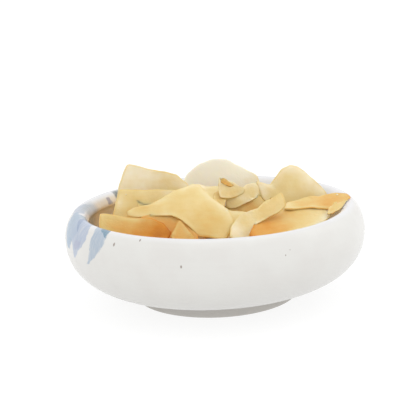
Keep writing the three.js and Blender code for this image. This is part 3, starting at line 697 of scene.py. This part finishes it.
class Finish:
    """A material's nodes, with short ways to add the kinds that the finishes use."""

    def __init__(self, name):
        self.material = bpy.data.materials.new(name)
        self.material.use_nodes = True
        self.tree = self.material.node_tree
        self.tree.nodes.clear()

    def node(self, kind, inputs=(), **settings):
        """Adds a node, sets its settings, and sets or links its inputs by name or number."""
        node = self.tree.nodes.new(kind)
        for name, value in settings.items():
            setattr(node, name, value)
        for name, value in dict(inputs).items():
            if isinstance(value, bpy.types.NodeSocket):
                self.tree.links.new(value, node.inputs[name])
            else:
                node.inputs[name].default_value = value
        return node

    def math(self, operation, *values):
        """A sum or other operation on values."""
        return self.node("ShaderNodeMath", enumerate(values), operation=operation).outputs[0]

    def sum_of_product(self, value, factor, added):
        """value times factor, plus added."""
        return self.math("MULTIPLY_ADD", value, factor, added)

    def fade(self, value, low, high, start=0.0, end=1.0):
        """A smooth change from start at low to end at high."""
        inputs = {"Value": value, "From Min": low, "From Max": high}
        inputs.update({"To Min": start, "To Max": end})
        return self.node("ShaderNodeMapRange", inputs, interpolation_type="SMOOTHSTEP").outputs[0]

    def mix(self, share, first, second):
        """A mix of two colours, linear in light."""
        node = self.node("ShaderNodeMix", {0: share, 6: first, 7: second}, data_type="RGBA")
        return node.outputs[2]

    def noise(self, place, scale, detail=2.0, roughness=0.5):
        """Cloudy noise, about 0.5 on average."""
        inputs = {"Vector": place, "Scale": scale, "Detail": detail, "Roughness": roughness}
        return self.node("ShaderNodeTexNoise", inputs).outputs[0]

    def stretch(self, place, scale):
        """The place times a scale on each axis."""
        inputs = {"Vector": place, "Scale": scale}
        return self.node("ShaderNodeMapping", inputs).outputs[0]

    def bumps(self, height, strength, distance):
        """The normal of a surface with small bumps, distance metres high where height is 1."""
        inputs = {"Height": height, "Strength": strength, "Distance": distance}
        return self.node("ShaderNodeBump", inputs).outputs[0]

    def trait(self, name):
        """The number that the mesh holds at each point under this name."""
        return self.node("ShaderNodeAttribute", attribute_name=name).outputs["Fac"]

    def corner_map(self, name):
        """The place on the mesh's own UV map."""
        return self.node("ShaderNodeUVMap", uv_map=name).outputs[0]

    def object_place(self):
        """The place in metres from the object's origin."""
        return self.node("ShaderNodeTexCoord").outputs["Object"]

    def split(self, place):
        """The place's three numbers."""
        return self.node("ShaderNodeSeparateXYZ", {0: place}).outputs

    def joined(self, **axes):
        """A place from its numbers, each 0 where it isn't given."""
        return self.node("ShaderNodeCombineXYZ", axes).outputs[0]

    def surface(self, **inputs):
        """Ends the tree with one Principled shader."""
        named = {name.replace("_", " "): value for name, value in inputs.items()}
        shader = self.node("ShaderNodeBsdfPrincipled", named)
        self.node("ShaderNodeOutputMaterial", {"Surface": shader.outputs[0]})
        return self.material


def paint(red, green, blue):
    """A colour given as it looks on screen, 0 to 255, in linear light."""
    shown = np.array([red, green, blue]) / 255
    linear = np.where(shown <= 0.04045, shown / 12.92, ((shown + 0.055) / 1.055) ** 2.4)
    return (*linear.tolist(), 1.0)


GLAZE_WHITE = paint(224, 223, 219)
GLAZE_CLOUD = paint(221, 219, 215)
# Painted shade: the glaze's colour low on the wall.
GLAZE_SHADED_LOW = paint(186, 185, 181)
GLAZE_LIP = paint(226, 226, 228)
# Painted light: the paler glaze inside.
GLAZE_INSIDE_PAINTED_LIGHT = paint(252, 248, 240)
CLAY_PALE = paint(190, 187, 182)
CLAY_DARK = paint(176, 172, 166)
IRON = paint(120, 100, 82)
LAYERS_DARK = paint(226, 186, 124)
LAYERS_PALE = paint(238, 212, 158)

# Brush strokes, as they run over the rim on the left. A drop is the length down the outside
# from the rim's top, and below 0 inside. `angle` is where the stroke starts, in degrees from
# +X, at the drop `top`, and it moves by `slant` degrees for each millimetre further down and by
# `bow` for each millimetre squared. It ends at the drop `bottom`, where it fades out over
# `fading` millimetres. `half` is half its width in degrees, `tip` the share of that which is
# left at its end, and `soft` the degrees over which its edges fade. `cover` is how much of the
# glaze it hides.
USUAL_STROKE = {"bow": 0.0, "soft": 0.8, "tip": 0.15, "fading": 1.0}
STROKES = [
    {"angle": 176, "top": -5, "bottom": 3, "slant": 1.0, "half": 8.5, "soft": 2.0, "tip": 0.7,
     "cover": 0.9, "colour": (168, 178, 194)},
    {"angle": 191, "top": -6, "bottom": -1, "slant": 0.5, "half": 2.6, "cover": 0.85,
     "colour": (138, 156, 162)},
    {"angle": 197, "top": -6, "bottom": 19, "slant": 0.16, "bow": -0.003, "half": 7.8, "tip": 0.35,
     "cover": 1.0, "colour": (160, 177, 194)},
    {"angle": 191, "top": -1, "bottom": 18, "slant": 0.42, "half": 5.5, "cover": 1.0,
     "colour": (160, 177, 194)},
    {"angle": 202.5, "top": -6, "bottom": 22, "slant": 0.75, "bow": -0.022, "half": 6.6,
     "cover": 0.95, "colour": (170, 182, 202)},
    {"angle": 201, "top": 1, "bottom": 13, "slant": 0.1, "half": 4.5, "cover": 0.9,
     "colour": (168, 182, 200)},
    {"angle": 197, "top": -6, "bottom": 7, "slant": 0.75, "half": 2.2, "cover": 0.9,
     "colour": (146, 160, 186)},
    {"angle": 201, "top": 12, "bottom": 19.5, "slant": -0.4, "half": 1.8, "cover": 0.9,
     "colour": (150, 172, 194)},
    {"angle": 210, "top": 11, "bottom": 17, "slant": -0.3, "half": 2.4, "soft": 1.2, "cover": 0.7,
     "colour": (168, 172, 194)},
    {"angle": 219, "top": -4, "bottom": 22, "slant": 0.58, "bow": -0.025, "half": 4.0,
     "cover": 1.0, "colour": (172, 185, 199)},
    {"angle": 220.5, "top": -5, "bottom": 5, "slant": 0.55, "half": 2.8, "cover": 1.0,
     "colour": (118, 148, 168)},
    {"angle": 148, "top": -28, "bottom": -2, "slant": 0.1, "half": 15.0, "soft": 6.0, "tip": 1.0,
     "fading": 6.0, "cover": 0.8, "colour": (226, 208, 176)},
    {"angle": 167, "top": -28, "bottom": 1, "slant": 0.2, "half": 7.5, "soft": 6.0, "tip": 1.0,
     "fading": 6.0, "cover": 0.8, "colour": (176, 182, 186)},
    {"angle": 150, "top": -10, "bottom": -4.5, "slant": 0.2, "half": 1.5, "soft": 1.0, "tip": 0.6,
     "cover": 0.8, "colour": (140, 132, 146)},
    {"angle": 140.5, "top": -14, "bottom": -0.5, "slant": 0.15, "half": 3.4, "soft": 1.6,
     "tip": 0.7, "fading": 2.5, "cover": 0.9, "colour": (96, 106, 104)},
]

# Iron specks in the glaze.
SPECKS = [
    {"angle": 231.3, "drop": 7.0, "radius": 0.9},
    {"angle": 241.8, "drop": 2.6, "radius": 0.7},
    {"angle": 258.2, "drop": 15.6, "radius": 0.7},
    {"angle": 294.5, "drop": 13.5, "radius": 0.4},
    {"angle": 296.5, "drop": 11.0, "radius": 0.3},
]
SPECK_RUN = 0.6               # a speck's width over its length, as the glaze has run
MM_PER_DEGREE = 1.5           # round the bowl at the height of its shoulder


def stroke_mask(finish, angle, drop, stroke):
    """1 where a stroke covers and 0 elsewhere.

    Its middle line is angle + slant d + bow d squared, d below its top. It narrows over the
    lower half of its length."""
    half, soft = stroke["half"], stroke["soft"]
    length = stroke["bottom"] - stroke["top"]
    down = finish.math("SUBTRACT", drop, stroke["top"])
    bowed = finish.math("MULTIPLY", down, stroke["bow"])
    middle = finish.sum_of_product(bowed, down, stroke["angle"])
    middle = finish.sum_of_product(down, stroke["slant"], middle)
    aside = finish.math("ABSOLUTE", finish.math("SUBTRACT", angle, middle))
    width = finish.fade(down, 0.45 * length, length, half, stroke["tip"] * half)
    inside = finish.fade(finish.math("SUBTRACT", width, aside), -0.5 * soft, 0.5 * soft)
    start = finish.fade(down, -1.0, 0.8)
    end = finish.fade(down, length - stroke["fading"], length, 1.0, 0.0)
    return finish.math("MULTIPLY", finish.math("MULTIPLY", inside, start), end)


def add_strokes(finish, colour, place, angle, drop):
    """The colour with the brush strokes over it: their edges wander, and the brush's hairs leave
    streaks along them."""
    wander = finish.math("SUBTRACT", finish.noise(place, 220, 3), 0.5)
    shaken_angle = finish.sum_of_product(wander, 3.0, angle)
    brushed = finish.joined(X=angle, Y=finish.math("MULTIPLY", drop, 0.08))
    hairs = finish.fade(finish.noise(brushed, 1.6, 3), 0.25, 0.6, 0.6, 1.0)
    for stroke in STROKES:
        stroke = {**USUAL_STROKE, **stroke}
        mask = stroke_mask(finish, shaken_angle, drop, stroke)
        cover = finish.math("MULTIPLY", finish.math("MULTIPLY", mask, hairs), stroke["cover"])
        colour = finish.mix(cover, colour, paint(*stroke["colour"]))
    return colour


def add_specks(finish, colour, angle, drop):
    """The colour with the iron specks over it, by the distance from each one's middle."""
    for speck in SPECKS:
        aside = finish.math("SUBTRACT", angle, speck["angle"])
        across = finish.math("MULTIPLY", aside, MM_PER_DEGREE)
        down = finish.math("MULTIPLY", finish.math("SUBTRACT", drop, speck["drop"]), SPECK_RUN)
        squares = finish.sum_of_product(down, down, finish.math("MULTIPLY", across, across))
        away = finish.math("SQRT", squares)
        spot = finish.fade(away, 0.3 * speck["radius"], speck["radius"], 0.75, 0.0)
        colour = finish.mix(spot, colour, IRON)
    return colour


def glazed_stoneware():
    """Off-white glaze with blue-grey brush strokes, iron specks and a bare clay foot."""
    finish = Finish("glazed_stoneware")
    place = finish.object_place()
    share = finish.split(finish.corner_map("glaze_map"))
    angle = finish.sum_of_product(share[0], 360.0, 90.0)
    drop = finish.sum_of_product(share[1], BOWL_UV_SPAN, -0.5 * BOWL_UV_SPAN)

    # The glaze: painted shade darkens it toward the foot, it is clearer over the lip, and painted
    # light makes it paler inside.
    cloud = finish.fade(finish.noise(place, 60, 3), 0.3, 0.7)
    colour = finish.mix(cloud, GLAZE_WHITE, GLAZE_CLOUD)
    colour = finish.mix(finish.fade(drop, 12.0, 80.0), colour, GLAZE_SHADED_LOW)
    colour = finish.mix(finish.fade(drop, 4.0, -1.0), colour, GLAZE_LIP)
    colour = finish.mix(finish.fade(drop, -6.0, -12.0), colour, GLAZE_INSIDE_PAINTED_LIGHT)
    colour = add_strokes(finish, colour, place, angle, drop)
    colour = add_specks(finish, colour, angle, drop)

    # Bare clay below an uneven line about 8.5 mm up, on the outside only.
    line = finish.sum_of_product(finish.noise(place, 150, 2), 0.0012, 0.0079)
    above = finish.math("SUBTRACT", finish.split(place)[2], line)
    bare = finish.fade(above, -0.0004, 0.0003, 1.0, 0.0)
    bare = finish.math("MULTIPLY", bare, finish.fade(drop, 60, 66))
    grain = finish.noise(place, 1400, 4, 0.7)
    colour = finish.mix(bare, colour, finish.mix(grain, CLAY_PALE, CLAY_DARK))
    roughness = finish.sum_of_product(bare, 0.5, 0.26)
    rough_grain = finish.math("MULTIPLY", grain, bare)
    relief = finish.sum_of_product(rough_grain, 0.5, finish.noise(place, 90, 2))
    normal = finish.bumps(relief, 0.25, 0.0006)
    return finish.surface(Base_Color=colour, Roughness=roughness, Normal=normal, IOR=1.5)


# The slices' colour by tone, from pale cream to deep orange, the deep end partly painted shade.
TONES = [
    (0.0, (247, 243, 229)),
    (0.25, (240, 230, 199)),
    (0.5, (230, 211, 155)),
    (0.75, (224, 196, 128)),
    (1.0, (222, 173, 93)),
    (1.3, (214, 142, 44)),
    (1.6, (188, 112, 26)),
]


def tone_ramp(finish, tone):
    """The colour of a tone: straight lines in linear light between those of TONES."""
    top = TONES[-1][0]
    node = finish.node("ShaderNodeValToRGB", {0: finish.math("DIVIDE", tone, top)})
    ramp = node.color_ramp
    ramp.elements[0].color = paint(*TONES[0][1])
    ramp.elements[1].color = paint(*TONES[-1][1])
    for level, colour in TONES[1:-1]:
        ramp.elements.new(level / top).color = paint(*colour)
    return node.outputs[0]


def dried_potato():
    """Thin slices with a satin skin, soft blotches, a fine grain and a darker cut edge."""
    finish = Finish("dried_potato")
    apart = finish.joined(Z=finish.trait("seed"))
    inputs = {0: finish.corner_map("slice_map"), 1: apart}
    flat = finish.node("ShaderNodeVectorMath", inputs, operation="ADD").outputs[0]

    # Blotches and streaks shift the tone, which has painted shade in it; it pales inside the edge.
    blotch = finish.math("SUBTRACT", finish.noise(flat, 6, 3), 0.5)
    tone = finish.sum_of_product(blotch, 0.8, finish.trait("tone"))
    streak = finish.noise(finish.stretch(flat, (3.0, 16.0, 1.0)), 1, 2)
    tone = finish.sum_of_product(finish.math("SUBTRACT", streak, 0.5), 0.25, tone)
    outward = finish.trait("outward")
    paler = finish.fade(outward, 0.93, 0.97, -0.12, 0.0)
    rim = finish.math("MULTIPLY", finish.fade(outward, 0.55, 0.93), paler)
    cut_edge = finish.fade(outward, 0.96, 0.99, 0.0, 0.07)
    tone = finish.math("ADD", finish.math("ADD", tone, rim), cut_edge)

    grain = finish.math("MULTIPLY", finish.noise(flat, 90, 3, 0.6), 0.25)
    relief = finish.math("ADD", finish.noise(flat, 12, 3), grain)
    normal = finish.bumps(relief, 0.5, 0.001)
    return finish.surface(
        Base_Color=tone_ramp(finish, tone), Roughness=0.45, Normal=normal, Specular_IOR_Level=0.3,
        Subsurface_Weight=0.7, Subsurface_Radius=(1.0, 0.85, 0.65), Subsurface_Scale=0.0008)


def packed_slices():
    """The core's golden brown, streaked like the edges of stacked slices."""
    finish = Finish("packed_slices")
    flattened = finish.stretch(finish.object_place(), (1.0, 1.0, 6.0))
    layers = finish.noise(flattened, 60, 3)
    colour = finish.mix(finish.fade(layers, 0.3, 0.7), LAYERS_DARK, LAYERS_PALE)
    normal = finish.bumps(layers, 0.5, 0.001)
    return finish.surface(Base_Color=colour, Roughness=0.6, Normal=normal)


# ---- Stage --------------------------------------------------------------------------------

CAMERA = {
    "aim": (0, 0, 18),        # the point that the view was measured from
    "distance": 630,
    "down": 16.5,             # the line from that point to the camera, above level
    "roll": 2.42,             # the bowl's right side looks higher by this
    "lens": 88.06,
    "sensor": 36,
    "aim_right": 3.99,        # where the aim point lies from the picture's middle before the
    "aim_below": 53.79,       # roll, in pixels of a picture of the width below
    "picture": 420,
}
FLOOR_HALF = 40.0             # metres, so that its edge is out of sight
FLOOR_GREY = (0.2, 0.2, 0.2, 1)
FLOOR_GLOW = 0.82             # makes the floor near white, with only soft shadows
WHITE = (1, 1, 1, 1)
LIGHTS = [                    # places and sizes in metres, power in watts
    {"name": "overhead", "place": (0.1, -0.1, 1.0), "size": 0.8, "power": 1.5},
    {"name": "right", "place": (0.7, 0.1, 0.6), "size": 0.5, "power": 0.4},
]
LIT_POINT = (0, 0, 0.04)      # the middle of the bowl, in metres


def set_camera():
    """Puts the camera on its line from the aim point, turned so that the point lies where it
    does in the picture.

    Its pixels from the middle, over the lens's length in pixels, are the tangents of the turns."""
    lens_pixels = CAMERA["lens"] / CAMERA["sensor"] * CAMERA["picture"]
    down = math.radians(CAMERA["down"])
    distance = CAMERA["distance"] * MM
    aim = Vector(CAMERA["aim"]) * MM
    place = aim + distance * Vector((0, -math.cos(down), math.sin(down)))
    pitch = down - math.atan(CAMERA["aim_below"] / lens_pixels)
    yaw = math.atan(CAMERA["aim_right"] / lens_pixels)
    turn = Matrix.Rotation(yaw, 4, "Z") @ Matrix.Rotation(math.pi / 2 - pitch, 4, "X")
    turn = turn @ Matrix.Rotation(-math.radians(CAMERA["roll"]), 4, "Z")
    data = bpy.data.cameras.new("view")
    data.lens = CAMERA["lens"]
    data.sensor_width = CAMERA["sensor"]
    camera = bpy.data.objects.new("view", data)
    camera.matrix_world = Matrix.Translation(place) @ turn
    bpy.context.scene.collection.objects.link(camera)
    bpy.context.scene.camera = camera


def area_light(name, place, size, power):
    """A square soft light that faces the bowl."""
    data = bpy.data.lights.new(name, "AREA")
    data.size = size
    data.energy = power
    light = bpy.data.objects.new(name, data)
    light.location = place
    toward = Vector(LIT_POINT) - Vector(place)
    light.rotation_euler = toward.to_track_quat("-Z", "Y").to_euler()
    bpy.context.scene.collection.objects.link(light)


def make_floor():
    """A pale square under the bowl that glows a little."""
    half = FLOOR_HALF
    mesh = bpy.data.meshes.new("floor")
    corners = [(-half, -half, 0), (half, -half, 0), (half, half, 0), (-half, half, 0)]
    mesh.from_pydata(corners, [], [(0, 1, 2, 3)])
    mesh.materials.append(Finish("pale_floor").surface(
        Base_Color=FLOOR_GREY, Roughness=0.9, Emission_Color=WHITE, Emission_Strength=FLOOR_GLOW))
    floor = bpy.data.objects.new("floor", mesh)
    bpy.context.scene.collection.objects.link(floor)


def set_stage():
    """The floor, a white surround and soft lights."""
    make_floor()
    world = bpy.data.worlds.new("white_surround")
    world.use_nodes = True
    background = world.node_tree.nodes["Background"]
    background.inputs["Color"].default_value = WHITE
    background.inputs["Strength"].default_value = 1.0
    bpy.context.scene.world = world
    for light in LIGHTS:
        area_light(**light)
    bpy.context.scene.view_settings.view_transform = "Standard"


# ---- Assembly -----------------------------------------------------------------------------

bowl = make_bowl(glazed_stoneware())
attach(bowl, "root")
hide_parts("bowl")

forms = every_slice()
potato = dried_potato()
slices = make_slices(forms, potato)
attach(slices, "root")
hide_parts("potato_slices")

crumbs = make_crumbs(forms, potato)
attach(crumbs, "root")
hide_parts("potato_slices")

core = make_core(packed_slices())
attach(core, "root")
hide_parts("potato_slices")

set_camera()
set_stage()
